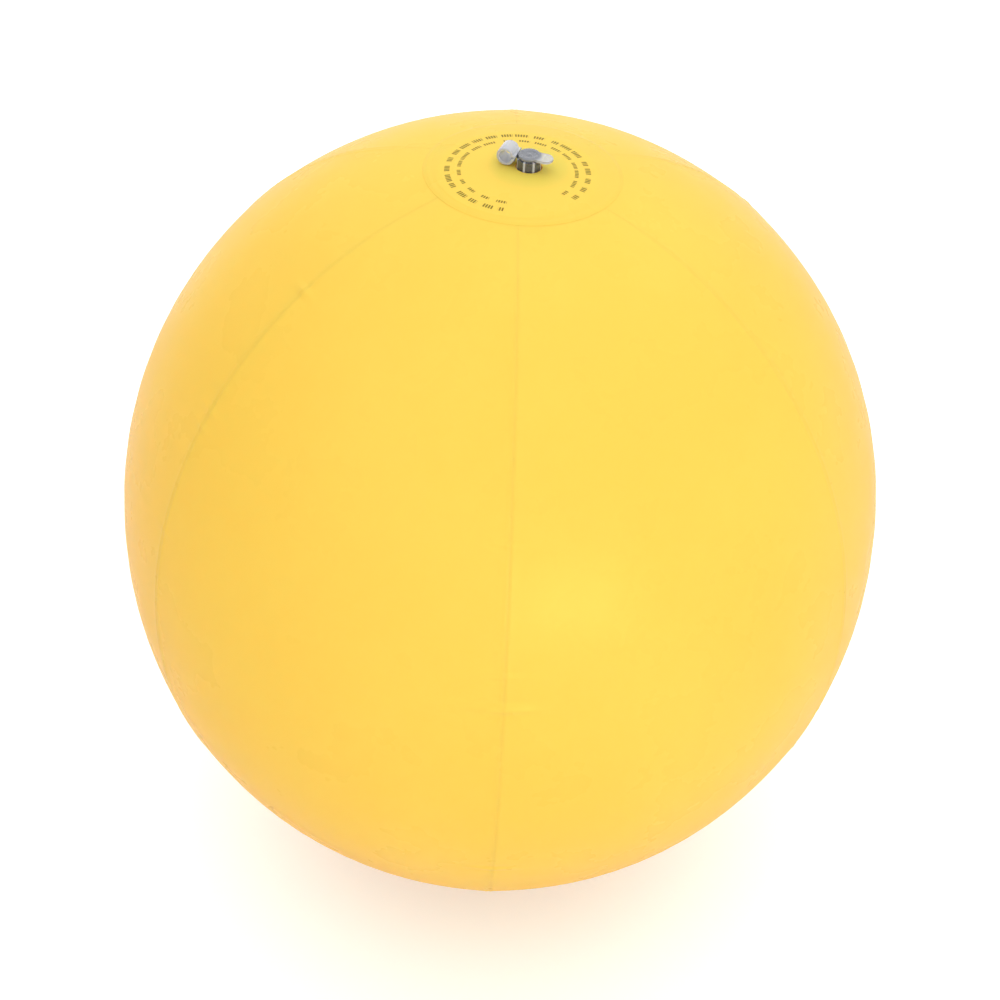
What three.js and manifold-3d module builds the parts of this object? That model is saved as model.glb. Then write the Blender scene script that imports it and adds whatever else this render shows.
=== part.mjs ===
// Inflatable beach ball of six welded film panels, two end patches and a plugged air valve.
// Lengths are in millimetres and angles in degrees. +Z runs along the ball's axis, up to the
// valve, and the origin is at the middle of the small flat that the ball rests on.

import * as THREE from 'three';
import { mergeVertices } from 'three/addons/utils/BufferGeometryUtils.js';
import Module from 'manifold-3d';

// The inflated ball
const BALL_RADIUS = 126;
const POLE_HEIGHT = 132.3; // from the equator to where the panels' curve would meet the axis
const PROFILE_POWER = 2.04; // 2 gives an ellipse, more gives fuller shoulders
const PANEL_COUNT = 6;
const FIRST_SEAM_ANGLE = -90;

// The panels' film and the welded seams between them
const FILM_THICKNESS = 0.25;
const FIN_DEPTH = 2.5; // the weld's inward fin, in from the outer face
const SEAM_GAP = 0.2; // between the fins of two neighbours
const SEAM_DIP = 0.5; // how far the seam is drawn in below the round of the ball
const SEAM_DIP_WIDTH = 7; // how far from the seam the film is drawn in

// The end patches, which lap over the open ends of the panels
const PANEL_HOLE_RADIUS = 25;
const PATCH_LAP = 6;
const LAP_GAP = 0.15;
const PATCH_DOME_RADIUS = 250;
const REST_FLAT_RADIUS = 15;

// The valve's place on the top patch and the way its strap and tab point
const VALVE_X = 3.4;
const VALVE_Y = 2.4;
const VALVE_TURN = -20;

// The valve's flange and the soft skirt that lets the stem be pushed in
const FLANGE_RADIUS = 12.5;
const FLANGE_THICKNESS = 0.5;
const FLANGE_GAP = 0.15;
const SKIRT_RADIUS = 7.5;
const SKIRT_THICKNESS = 0.3;
const SKIRT_DROP = 1.6;
const SKIRT_GAP = 0.15;

// The valve's stem
const STEM_RADIUS = 3.95;
const STEM_WALL = 0.9;
const STEM_STANDS = 3.2; // the rim's height over the patch
const STEM_LENGTH = 9.8;
const STEM_EDGE = 0.2; // the rim's small chamfer
const HOLE_CLEARANCE = 0.3;

// The plug with its pull tab
const HEAD_RADIUS = 3.5;
const HEAD_THICKNESS = 1.05;
const HEAD_EDGE = 0.25;
const SPIGOT_LENGTH = 4.2;
const SPIGOT_CLEARANCE = 0.12;
const SPIGOT_TAPER = 0.15;
const SEAT_GAP = 0.1;
const TAB_REACH = 7.7;
const TAB_WIDTH = 4.8;
const TAB_THICKNESS = 1;

// The strap that ties the plug to the stem, folded over in a loop
const STRAP_WIDTH = 3.4;
const STRAP_THICKNESS = 0.7;
const STRAP_LOOP_RADIUS = 2.47;
const STRAP_LOOP_OFFSET = 0.46; // from the stem's wall to the loop's near side
const STRAP_MOUTH = 50; // half of the angle where the loop opens towards the stem
const STRAP_GAP = 0.15;

// The check flap under the stem's foot
const FLAP_RADIUS = 3.7;
const FLAP_THICKNESS = 0.35;
const FLAP_GAP = 0.15;
const FLAP_HINGE_WIDTH = 2.4;

// How finely curves are cut
const PANEL_STATIONS = 24;
const PATCH_SEGMENTS = 48;
const PATCH_RINGS = 5;
const LAP_RINGS = 2;
const VALVE_SEGMENTS = 32;
const SKIRT_STEPS = 6;
const STRAP_STATIONS = 28;
const CORNER_SEGMENTS = 10;

// Places across half a panel, from its middle to its seam, closer together at the seam
const PANEL_STEPS = [0.16, 0.48, 0.76, 0.91, 0.97, 1];

const PATCH_RADIUS = PANEL_HOLE_RADIUS + PATCH_LAP;
const BORE_RADIUS = STEM_RADIUS - STEM_WALL;
const WELD_TOLERANCE = 1e-5;

const wasm = await Module();
wasm.setup();

const radians = THREE.MathUtils.degToRad;

// Height of the panels' outer face above the equator, at a distance from the axis.
function panelHeight(radius) {
  const rest = 1 - (radius / BALL_RADIUS) ** PROFILE_POWER;
  return POLE_HEIGHT * rest ** (1 / PROFILE_POWER);
}

// Height of a patch's outer face above the equator: it lies on the panels, then domes.
function patchHeight(radius) {
  const lift = LAP_GAP + FILM_THICKNESS;
  if (radius >= PANEL_HOLE_RADIUS) return panelHeight(radius) + lift;
  const rise = (PANEL_HOLE_RADIUS ** 2 - radius ** 2) / (2 * PATCH_DOME_RADIUS);
  return panelHeight(PANEL_HOLE_RADIUS) + lift + rise;
}

const EQUATOR_HEIGHT = patchHeight(REST_FLAT_RADIUS);
const VALVE_OFFSET = Math.hypot(VALVE_X, VALVE_Y);

// One body from raw triangles: equal vertices joined, empty triangles out, faces outward.
function closedBody(geometry) {
  const bare = new THREE.BufferGeometry();
  bare.setAttribute('position', geometry.getAttribute('position'));
  bare.setIndex(geometry.getIndex());
  const merged = mergeVertices(bare, WELD_TOLERANCE);
  const corners = merged.getIndex().array;
  const kept = [];
  for (let i = 0; i < corners.length; i += 3) {
    const [a, b, c] = corners.slice(i, i + 3);
    if (a !== b && b !== c && c !== a) kept.push(a, b, c);
  }
  if (signedVolume(merged.getAttribute('position'), kept) < 0) kept.reverse();
  merged.setIndex(kept);
  return merged;
}

function signedVolume(position, index) {
  const [a, b, c] = [new THREE.Vector3(), new THREE.Vector3(), new THREE.Vector3()];
  let total = 0;
  for (let i = 0; i < index.length; i += 3) {
    a.fromBufferAttribute(position, index[i]);
    b.fromBufferAttribute(position, index[i + 1]);
    c.fromBufferAttribute(position, index[i + 2]);
    total += a.dot(b.cross(c)) / 6;
  }
  return total;
}

// A body turned about +Z from pairs of radius and height.
function revolved(profile, segments) {
  const points = profile.map(([radius, height]) => new THREE.Vector2(radius, height));
  return closedBody(new THREE.LatheGeometry(points, segments).rotateX(Math.PI / 2));
}

// A body swept through closed rings of points. Each end is closed like a ladder, between
// the ring's first half and its second half taken backwards.
function lofted(rings) {
  const size = rings[0].length;
  const index = [];
  for (let ring = 0; ring + 1 < rings.length; ring += 1) {
    for (let i = 0; i < size; i += 1) {
      const here = ring * size + i;
      const next = ring * size + ((i + 1) % size);
      index.push(here, next, next + size, here, next + size, here + size);
    }
  }
  const last = (rings.length - 1) * size;
  for (let i = 0; i + 1 < size / 2; i += 1) {
    const far = size - 1 - i;
    index.push(i, far, i + 1, i + 1, far, far - 1);
    index.push(last + i, last + i + 1, last + far, last + i + 1, last + far - 1, last + far);
  }
  const geometry = new THREE.BufferGeometry().setFromPoints(rings.flat());
  geometry.setIndex(index);
  return closedBody(geometry);
}

function toManifold(geometry) {
  const vertProperties = new Float32Array(geometry.getAttribute('position').array);
  const triVerts = new Uint32Array(geometry.getIndex().array);
  return new wasm.Manifold(new wasm.Mesh({ numProp: 3, vertProperties, triVerts }));
}

function fromManifold(manifold) {
  const mesh = manifold.getMesh();
  const geometry = new THREE.BufferGeometry();
  geometry.setAttribute('position', new THREE.BufferAttribute(mesh.vertProperties, 3));
  geometry.setIndex(new THREE.BufferAttribute(mesh.triVerts, 1));
  return closedBody(geometry);
}

// How far the film is drawn in at a distance from the seam. It fades out under the patches.
function seamDip(distance, radius) {
  const nearSeam = THREE.MathUtils.smoothstep(SEAM_DIP_WIDTH - distance, 0, SEAM_DIP_WIDTH);
  const offPatch = THREE.MathUtils.smoothstep(radius, PATCH_RADIUS, 2 * PATCH_RADIUS);
  return SEAM_DIP * nearSeam * offPatch;
}

// A point on a panel, at an angle from the panel's middle and a depth below the round.
function panelPoint(station, angle, depth) {
  const radius = station.radius - depth * station.normal.x;
  const height = EQUATOR_HEIGHT + station.height - depth * station.normal.y;
  return new THREE.Vector3(radius * Math.cos(angle), radius * Math.sin(angle), height);
}

// The panel's section at one place along its length: a thin curved strip whose two long
// edges turn inwards as fins, which stay parallel to the seam.
function panelRing(turn) {
  const sine = Math.sin(turn) ** (2 / PROFILE_POWER);
  const cosine = Math.abs(Math.cos(turn)) ** (2 / PROFILE_POWER);
  const side = Math.sign(Math.cos(turn));
  const station = { radius: BALL_RADIUS * sine, height: POLE_HEIGHT * cosine * side };
  station.normal = new THREE.Vector2(
    sine ** (PROFILE_POWER - 1) / BALL_RADIUS,
    (side * cosine ** (PROFILE_POWER - 1)) / POLE_HEIGHT,
  ).normalize();

  const seamAngle = Math.PI / PANEL_COUNT;
  const outerFace = SEAM_GAP / 2;
  const innerFace = outerFace + FILM_THICKNESS;
  const angleAt = (distance, depth) =>
    seamAngle - Math.asin(distance / (station.radius - depth * station.normal.x));

  const halfSection = (share, distance, extra) => {
    const angle = share * angleAt(distance, extra);
    const toSeam = (seamAngle - angle) * station.radius;
    return { angle, depth: extra + seamDip(toSeam, station.radius) };
  };
  const outer = PANEL_STEPS.map((share) => halfSection(share, outerFace, 0));
  const inner = PANEL_STEPS.map((share) => halfSection(share, innerFace, FILM_THICKNESS));
  const tipDepth = SEAM_DIP + FIN_DEPTH;
  outer.push({ angle: angleAt(outerFace, tipDepth), depth: tipDepth });
  inner.push({ angle: angleAt(innerFace, tipDepth), depth: tipDepth });

  const place = ({ angle, depth }, sign) => panelPoint(station, sign * angle, depth);
  return [
    ...outer.toReversed().map((spot) => place(spot, -1)),
    ...outer.map((spot) => place(spot, 1)),
    ...inner.toReversed().map((spot) => place(spot, 1)),
    ...inner.map((spot) => place(spot, -1)),
  ];
}

function panel() {
  const end = Math.asin((PANEL_HOLE_RADIUS / BALL_RADIUS) ** (PROFILE_POWER / 2));
  const rings = [];
  for (let i = 0; i <= PANEL_STATIONS; i += 1) {
    rings.push(panelRing(end + ((Math.PI - 2 * end) * i) / PANEL_STATIONS));
  }
  return lofted(rings);
}

// The patch's section from its rim to the axis, outer face first. Inside flatRadius the
// patch lies flat.
function patchProfile(flatRadius) {
  const radii = [];
  for (let i = 0; i < LAP_RINGS; i += 1) radii.push(PATCH_RADIUS - (PATCH_LAP * i) / LAP_RINGS);
  const domeSpan = PANEL_HOLE_RADIUS - flatRadius;
  for (let i = 0; i < PATCH_RINGS; i += 1) {
    radii.push(PANEL_HOLE_RADIUS - (domeSpan * i) / PATCH_RINGS);
  }
  if (flatRadius > 0) radii.push(flatRadius);
  radii.push(0);
  const outer = radii.map((radius) => [radius, patchHeight(Math.max(radius, flatRadius))]);
  const inner = outer.map(([radius, height]) => [radius, height - FILM_THICKNESS]);
  return [...outer.toReversed(), ...inner];
}

function valvePatch() {
  const whole = revolved(patchProfile(0), PATCH_SEGMENTS).translate(0, 0, EQUATOR_HEIGHT);
  const cutter = new THREE.CylinderGeometry(
    STEM_RADIUS + HOLE_CLEARANCE,
    STEM_RADIUS + HOLE_CLEARANCE,
    4 * POLE_HEIGHT,
    VALVE_SEGMENTS,
  );
  cutter.rotateX(Math.PI / 2).translate(VALVE_X, VALVE_Y, 0);
  return fromManifold(toManifold(whole).subtract(toManifold(closedBody(cutter))));
}

function basePatch() {
  const upright = revolved(patchProfile(REST_FLAT_RADIUS), PATCH_SEGMENTS);
  return closedBody(upright.scale(1, 1, -1).translate(0, 0, EQUATOR_HEIGHT));
}

// Valve pieces stand on the valve's own axis, with height 0 at the patch's outer face.

// The lowest height that the patch's dome takes at a distance from the valve's axis.
function domeDrop(radius) {
  return (radius * VALVE_OFFSET + radius ** 2 / 2) / PATCH_DOME_RADIUS;
}

function flangeTop(radius) {
  return -(FILM_THICKNESS + FLANGE_GAP + domeDrop(radius));
}

function valveFlange() {
  const steps = [SKIRT_RADIUS, (SKIRT_RADIUS + FLANGE_RADIUS) / 2, FLANGE_RADIUS];
  const top = steps.map((radius) => [radius, flangeTop(radius)]);
  const under = top.toReversed().map(([radius, height]) => [radius, height - FLANGE_THICKNESS]);
  return revolved([...top, ...under, top[0]], VALVE_SEGMENTS);
}

function valveSkirt() {
  const outerEnd = SKIRT_RADIUS - SKIRT_GAP;
  const innerEnd = STEM_RADIUS + SKIRT_GAP;
  const start = flangeTop(SKIRT_RADIUS) - (FLANGE_THICKNESS - SKIRT_THICKNESS) / 2;
  const top = [];
  for (let i = 0; i <= SKIRT_STEPS; i += 1) {
    const share = i / SKIRT_STEPS;
    const fall = SKIRT_DROP * THREE.MathUtils.smoothstep(share, 0, 1);
    top.push([outerEnd + (innerEnd - outerEnd) * share, start - fall]);
  }
  const under = top.toReversed().map(([radius, height]) => [radius, height - SKIRT_THICKNESS]);
  return revolved([...top, ...under, top[0]], VALVE_SEGMENTS);
}

function valveStem() {
  const foot = STEM_STANDS - STEM_LENGTH;
  const profile = [
    [BORE_RADIUS, foot],
    [STEM_RADIUS, foot],
    [STEM_RADIUS, STEM_STANDS - STEM_EDGE],
    [STEM_RADIUS - STEM_EDGE, STEM_STANDS],
    [BORE_RADIUS, STEM_STANDS],
    [BORE_RADIUS, foot],
  ];
  return revolved(profile, VALVE_SEGMENTS);
}

// A flat bar with a round end, from the axis out along +X.
function roundEndedBar(reach, width, thickness) {
  const shape = new THREE.Shape();
  const centre = reach - width / 2;
  shape.moveTo(0, -width / 2);
  shape.lineTo(centre, -width / 2);
  shape.absarc(centre, 0, width / 2, -Math.PI / 2, Math.PI / 2, false);
  shape.lineTo(0, width / 2);
  return new THREE.ExtrudeGeometry(shape, {
    depth: thickness,
    bevelEnabled: false,
    curveSegments: CORNER_SEGMENTS,
  });
}

function plug() {
  const seat = STEM_STANDS + SEAT_GAP;
  const top = seat + HEAD_THICKNESS;
  const tip = seat - SPIGOT_LENGTH;
  const spigotRadius = BORE_RADIUS - SPIGOT_CLEARANCE;
  const turned = revolved(
    [
      [0, tip],
      [spigotRadius - 3 * SPIGOT_TAPER, tip],
      [spigotRadius - SPIGOT_TAPER, tip + 2 * SPIGOT_TAPER],
      [spigotRadius, seat],
      [HEAD_RADIUS, seat],
      [HEAD_RADIUS, top - HEAD_EDGE],
      [HEAD_RADIUS - HEAD_EDGE, top],
      [0, top],
    ],
    VALVE_SEGMENTS,
  );
  const tab = roundEndedBar(TAB_REACH, TAB_WIDTH, TAB_THICKNESS).translate(0, 0, seat);
  return fromManifold(toManifold(turned).add(toManifold(closedBody(tab))));
}

// The strap's middle line: out from just under the rim, round the loop, back to the head.
function strapPath() {
  const lead = STRAP_THICKNESS;
  const low = STEM_STANDS - STRAP_THICKNESS / 2 - SEAT_GAP;
  const high = STEM_STANDS + SEAT_GAP + HEAD_THICKNESS / 2;
  const middle = STEM_RADIUS + STRAP_LOOP_OFFSET + STRAP_LOOP_RADIUS;
  const spots = [
    [STEM_RADIUS + STRAP_GAP, low],
    [STEM_RADIUS + STRAP_GAP + lead / 2, low],
  ];
  const turns = CORNER_SEGMENTS;
  for (let i = 0; i <= turns; i += 1) {
    const angle = radians(STRAP_MOUTH + ((360 - 2 * STRAP_MOUTH) * i) / turns);
    const out = middle - STRAP_LOOP_RADIUS * Math.cos(angle);
    spots.push([out, STEM_STANDS - STRAP_LOOP_RADIUS * Math.sin(angle)]);
  }
  spots.push([HEAD_RADIUS + STRAP_GAP + lead, high], [HEAD_RADIUS + STRAP_GAP, high]);
  return new THREE.CatmullRomCurve3(spots.map(([out, z]) => new THREE.Vector3(-out, 0, z)));
}

function strap() {
  const path = strapPath();
  const across = new THREE.Vector3(0, 1, 0);
  const half = STRAP_WIDTH / 2;
  const skin = STRAP_THICKNESS / 2;
  const bevel = STRAP_THICKNESS / 4;
  const section = [
    [-half, bevel - skin],
    [bevel - half, -skin],
    [half - bevel, -skin],
    [half, bevel - skin],
    [half, skin - bevel],
    [half - bevel, skin],
    [bevel - half, skin],
    [-half, skin - bevel],
  ];
  const rings = [];
  for (let i = 0; i <= STRAP_STATIONS; i += 1) {
    const centre = path.getPointAt(i / STRAP_STATIONS);
    const up = path.getTangentAt(i / STRAP_STATIONS).cross(across);
    rings.push(
      section.map(([side, rise]) =>
        centre.clone().addScaledVector(across, side).addScaledVector(up, rise)),
    );
  }
  return lofted(rings);
}

// A thin disc whose straight-sided tongue reaches the hinge line at the stem's outer wall.
function checkFlap() {
  const top = STEM_STANDS - STEM_LENGTH - FLAP_GAP;
  const half = FLAP_HINGE_WIDTH / 2;
  const open = Math.asin(half / FLAP_RADIUS);
  const shape = new THREE.Shape();
  shape.moveTo(-STEM_RADIUS, -half);
  shape.absarc(0, 0, FLAP_RADIUS, open - Math.PI, Math.PI - open, false);
  shape.lineTo(-STEM_RADIUS, half);
  const plate = new THREE.ExtrudeGeometry(shape, {
    depth: FLAP_THICKNESS,
    bevelEnabled: false,
    curveSegments: VALVE_SEGMENTS,
  });
  return closedBody(plate.translate(0, 0, top - FLAP_THICKNESS));
}

function material(color, roughness, opacity) {
  return new THREE.MeshStandardMaterial({
    color,
    roughness,
    metalness: 0,
    opacity,
    transparent: opacity < 1,
  });
}

const panelFilm = () => material(0xffdc62, 0.45, 1);
const patchFilm = () => material(0xfee465, 0.45, 1);
const clearPlastic = () => material(0xd4d6d8, 0.15, 0.6);

function named(name, geometry, finish) {
  const mesh = new THREE.Mesh(geometry, finish);
  mesh.name = name;
  return mesh;
}

function shell() {
  const group = new THREE.Group();
  const step = 360 / PANEL_COUNT;
  for (let i = 0; i < PANEL_COUNT; i += 1) {
    const gore = named(`panel_${i + 1}`, panel(), panelFilm());
    gore.rotation.z = radians(FIRST_SEAM_ANGLE + step * (i + 0.5));
    group.add(gore);
  }
  group.add(named('valve_patch', valvePatch(), patchFilm()));
  group.add(named('base_patch', basePatch(), patchFilm()));
  return group;
}

function valve() {
  const group = new THREE.Group();
  group.add(named('valve_flange', valveFlange(), clearPlastic()));
  group.add(named('valve_skirt', valveSkirt(), clearPlastic()));
  group.add(named('valve_stem', valveStem(), clearPlastic()));
  group.add(named('valve_plug', plug(), clearPlastic()));
  group.add(named('plug_strap', strap(), clearPlastic()));
  group.add(named('check_flap', checkFlap(), clearPlastic()));
  group.rotation.z = radians(VALVE_TURN);
  group.position.set(VALVE_X, VALVE_Y, EQUATOR_HEIGHT + patchHeight(VALVE_OFFSET));
  return group;
}

const ball = new THREE.Group();
ball.name = 'beach_ball';
ball.add(shell(), valve());

export default ball;
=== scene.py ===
"""Looks of an inflatable beach ball of yellow vinyl film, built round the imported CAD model.

Lengths are in metres, in the CAD model's frame: +Z runs along the ball's axis to the valve, and
the ball rests at height 0. Sizes that the CAD model fixes are repeated here as dataclass fields.
"""

import logging
import math
from dataclasses import dataclass, field
from enum import Enum

import bpy
import numpy as np
from mathutils import Matrix, Vector


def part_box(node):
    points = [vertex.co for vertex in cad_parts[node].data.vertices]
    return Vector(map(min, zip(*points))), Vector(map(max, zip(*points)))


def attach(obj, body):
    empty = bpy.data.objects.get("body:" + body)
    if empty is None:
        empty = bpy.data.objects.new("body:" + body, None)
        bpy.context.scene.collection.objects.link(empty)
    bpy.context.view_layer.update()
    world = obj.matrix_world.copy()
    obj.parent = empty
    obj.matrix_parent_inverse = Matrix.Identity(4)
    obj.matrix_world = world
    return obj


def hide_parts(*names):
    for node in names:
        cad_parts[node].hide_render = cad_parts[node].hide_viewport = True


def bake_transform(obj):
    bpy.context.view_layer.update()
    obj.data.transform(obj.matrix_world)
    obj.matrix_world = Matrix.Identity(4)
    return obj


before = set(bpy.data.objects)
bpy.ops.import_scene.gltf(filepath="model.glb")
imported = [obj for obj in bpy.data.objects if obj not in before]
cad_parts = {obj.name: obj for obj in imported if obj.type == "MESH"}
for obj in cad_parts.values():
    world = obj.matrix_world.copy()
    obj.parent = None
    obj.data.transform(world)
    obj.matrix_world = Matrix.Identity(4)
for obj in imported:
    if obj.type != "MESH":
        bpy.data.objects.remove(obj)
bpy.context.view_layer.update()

log = logging.getLogger("beach_ball")

MM = 0.001

Array = np.ndarray
Pair = tuple[float, float]
Colour = tuple[float, float, float]
Piece = bpy.types.Object
Material = bpy.types.Material
Tree = bpy.types.NodeTree
Socket = bpy.types.NodeSocket

WHITE: Colour = (1.0, 1.0, 1.0)


def from_screen(red: int, green: int, blue: int) -> Colour:
    """Turn a colour as a screen shows it into the linear colour that shaders use.

    Args:
        red, green, blue: The screen's channels, from 0 to 255.

    Returns:
        The linear colour, each channel from 0 to 1.
    """
    def channel(value: int) -> float:
        """One channel, by the sRGB curve."""
        share = value / 255
        return share / 12.92 if share <= 0.04045 else ((share + 0.055) / 1.055) ** 2.4

    return channel(red), channel(green), channel(blue)


def smoothstep(low: float, high: float, value: Array) -> Array:
    """Rise smoothly from 0 at low to 1 at high.

    Args:
        low, high: The ends of the rise; low may be the larger.
        value: Where to read it.

    Returns:
        The share risen, from 0 to 1.
    """
    share = np.clip((np.asarray(value, float) - low) / (high - low), 0, 1)
    return share * share * (3 - 2 * share)


def towards(turn: float, lift: float) -> Vector:
    """The direction at a turn from the front and a lift from level, both in degrees."""
    turn, lift = math.radians(turn), math.radians(lift)
    return Vector((math.sin(turn) * math.cos(lift), -math.cos(turn) * math.cos(lift),
                   math.sin(lift)))


def in_scene(name: str, data: bpy.types.ID) -> Piece:
    """Make an object of a mesh, lamp or camera, and put it in the scene."""
    made = bpy.data.objects.new(name, data)
    bpy.context.scene.collection.objects.link(made)
    return made


# Meshes

class Ends(Enum):
    """How a run of rings is closed at its two ends."""

    LADDER = "rungs between the two halves of each end ring"
    POINTS = "a middle point in each end ring"
    JOINED = "the last ring joined to the first"


def signed_volume(points: Array, faces: list[list[int]]) -> float:
    """Measure the room inside a closed mesh.

    Args:
        points: The mesh's points.
        faces: Its faces, as point numbers.

    Returns:
        The volume, negative where the faces look inwards.
    """
    total = 0.0
    for size in {len(face) for face in faces}:
        corners = points[np.array([face for face in faces if len(face) == size])]
        for i in range(1, size - 1):
            cross = np.cross(corners[:, i], corners[:, i + 1])
            total += float(np.einsum("ij,ij->", corners[:, 0], cross))
    return total / 6


def ring_mesh(name: str, rings: Array, ends: Ends, crease: float = 40.0) -> Piece:
    """Make a closed body from rings of points, all of one size.

    Args:
        name: The new object's name.
        rings: The points, as rings by points by 3.
        ends: How the first and last ring are closed.
        crease: The angle in degrees between faces above which an edge stays sharp.

    Returns:
        The new object, with its place in its mesh.
    """
    count, size = rings.shape[:2]
    points = rings.reshape(-1, 3)
    numbers = np.arange(count * size).reshape(count, size)
    if ends is Ends.JOINED:
        numbers = np.vstack([numbers, numbers[:1]])
    here, after = numbers[:-1], numbers[1:]
    sides = np.stack([here, np.roll(here, -1, 1), np.roll(after, -1, 1), after], -1)
    faces = sides.reshape(-1, 4).tolist()
    if ends is Ends.LADDER:
        first, last = numbers[0], numbers[-1]
        for i in range(size // 2 - 1):
            far = size - 1 - i
            faces.append([int(first[k]) for k in (i, far, far - 1, i + 1)])
            faces.append([int(last[k]) for k in (i, i + 1, far - 1, far)])
    if ends is Ends.POINTS:
        middles = rings[[0, -1]].mean(1)
        start, stop = len(points), len(points) + 1
        points = np.vstack([points, middles])
        for i in range(size):
            j = (i + 1) % size
            faces.append([start, int(numbers[0][j]), int(numbers[0][i])])
            faces.append([stop, int(numbers[-1][i]), int(numbers[-1][j])])
    mesh = bpy.data.meshes.new(name)
    mesh.from_pydata(points.tolist(), [], faces)
    if signed_volume(points, faces) < 0:
        mesh.flip_normals()
    mesh.shade_smooth()
    mesh.set_sharp_from_angle(angle=math.radians(crease))
    mesh.update()
    return in_scene(name, mesh)


def whole_turn(count: int) -> Array:
    """Even angles round a whole turn, in radians."""
    return np.linspace(0, 2 * math.pi, count, endpoint=False)


def about_axis(angles: Array, radius: Array | float, height: Array | float) -> Array:
    """Lay points about the vertical axis.

    Args:
        angles: Their angles in radians.
        radius, height: Their distance from the axis and their height, for all or for each.

    Returns:
        The points, with x, y and z last.
    """
    x = radius * np.cos(angles)
    return np.stack([x, radius * np.sin(angles), np.broadcast_to(height, x.shape)], -1)


def arc(centre: Pair, radius: float, start: float, stop: float, steps: int) -> list[Pair]:
    """Lay points along an arc in the plane of a section.

    Args:
        centre: The arc's middle.
        radius: Its radius.
        start, stop: Its end angles in degrees, from the first axis towards the second.
        steps: How many stretches it is cut into.

    Returns:
        The points, both ends among them.
    """
    angles = np.radians(np.linspace(start, stop, steps + 1))
    return [(centre[0] + radius * math.cos(a), centre[1] + radius * math.sin(a)) for a in angles]


def smooth_run(spots: Array, steps: int) -> tuple[Array, Array]:
    """Run a smooth curve through spots (a Catmull-Rom curve).

    Args:
        spots: The places that the curve passes, as rows.
        steps: How many points each span gets.

    Returns:
        The curve's points, and its direction at each.
    """
    padded = np.vstack([2 * spots[0] - spots[1], spots, 2 * spots[-1] - spots[-2]])
    points, ways = [], []
    for i in range(len(spots) - 1):
        a, b, c, d = padded[i:i + 4]
        last = i == len(spots) - 2
        for t in np.linspace(0, 1, steps + 1)[:None if last else -1]:
            points.append(0.5 * (2 * b + (c - a) * t + (2 * a - 5 * b + 4 * c - d) * t ** 2
                                 + (3 * b - a - 3 * c + d) * t ** 3))
            ways.append(0.5 * ((c - a) + 2 * (2 * a - 5 * b + 4 * c - d) * t
                               + 3 * (3 * b - a - 3 * c + d) * t ** 2))
    directions = np.array(ways)
    return np.array(points), directions / np.linalg.norm(directions, axis=1)[:, None]


# Nodes

class NodeSheet:
    """A node tree being filled in, with short ways to add nodes and join them."""

    def __init__(self, tree: Tree) -> None:
        """Start on an empty sheet."""
        self.tree = tree
        tree.nodes.clear()

    def node(self, kind: str, inputs: dict[str | int, object] | None = None,
             **settings: object) -> bpy.types.Node:
        """Add a node.

        Args:
            kind: The node's type name, without "ShaderNode".
            inputs: Values or sockets by input name or number.
            settings: The node's own settings.

        Returns:
            The new node.
        """
        made = self.tree.nodes.new(f"ShaderNode{kind}")
        for name, value in settings.items():
            setattr(made, name, value)
        for name, value in (inputs or {}).items():
            self.feed(made.inputs[name], value)
        return made

    def feed(self, target: Socket, value: object) -> None:
        """Join a socket to an input, or set the input's own value."""
        if isinstance(value, Socket):
            self.tree.links.new(value, target)
        elif target.type == "RGBA" and len(value) == 3:
            target.default_value = (*value, 1.0)
        else:
            target.default_value = value

    def maths(self, operation: str, first: object, second: object = 0.0) -> Socket:
        """Work out one step of arithmetic on numbers or sockets."""
        return self.node("Math", {0: first, 1: second}, operation=operation).outputs[0]

    def gap(self, first: object, second: object) -> Socket:
        """How far apart two numbers are."""
        return self.maths("ABSOLUTE", self.maths("SUBTRACT", first, second))

    def product(self, first: object, *others: object) -> Socket:
        """Multiply numbers or sockets."""
        for other in others:
            first = self.maths("MULTIPLY", first, other)
        return first

    def seen(self) -> Socket:
        """Whether the eye sees this straight, in a gloss or through something clear."""
        path = self.node("LightPath").outputs
        return self.maths("MAXIMUM", path["Is Camera Ray"], self.maths(
            "MAXIMUM", path["Is Glossy Ray"], path["Is Transmission Ray"]))

    def ramped(self, value: Socket, low: float, high: float, to_low: float = 0.0,
               to_high: float = 1.0) -> Socket:
        """Rise smoothly from to_low to to_high as value goes from low to high."""
        made = self.node("MapRange", {"Value": value, "From Min": low, "From Max": high,
                                      "To Min": to_low, "To Max": to_high},
                         interpolation_type="SMOOTHSTEP")
        return made.outputs["Result"]

    def blended(self, share: object, first: object, second: object) -> Socket:
        """Mix two colours by a share of the second."""
        made = self.node("Mix", {0: share, 6: first, 7: second}, data_type="RGBA")
        return made.outputs[2]

    def noise(self, place: object, scale: object, detail: float = 2.0,
              roughness: float = 0.5) -> Socket:
        """Read cloudy noise, from 0 to 1, at a place."""
        made = self.node("TexNoise", {"Vector": place, "Scale": scale, "Detail": detail,
                                      "Roughness": roughness})
        return made.outputs["Fac"]


class SocketKind(Enum):
    """The kinds of value that a shared effect takes in or puts out."""

    VALUE = "NodeSocketFloat"
    COLOUR = "NodeSocketColor"
    VECTOR = "NodeSocketVector"


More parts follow.
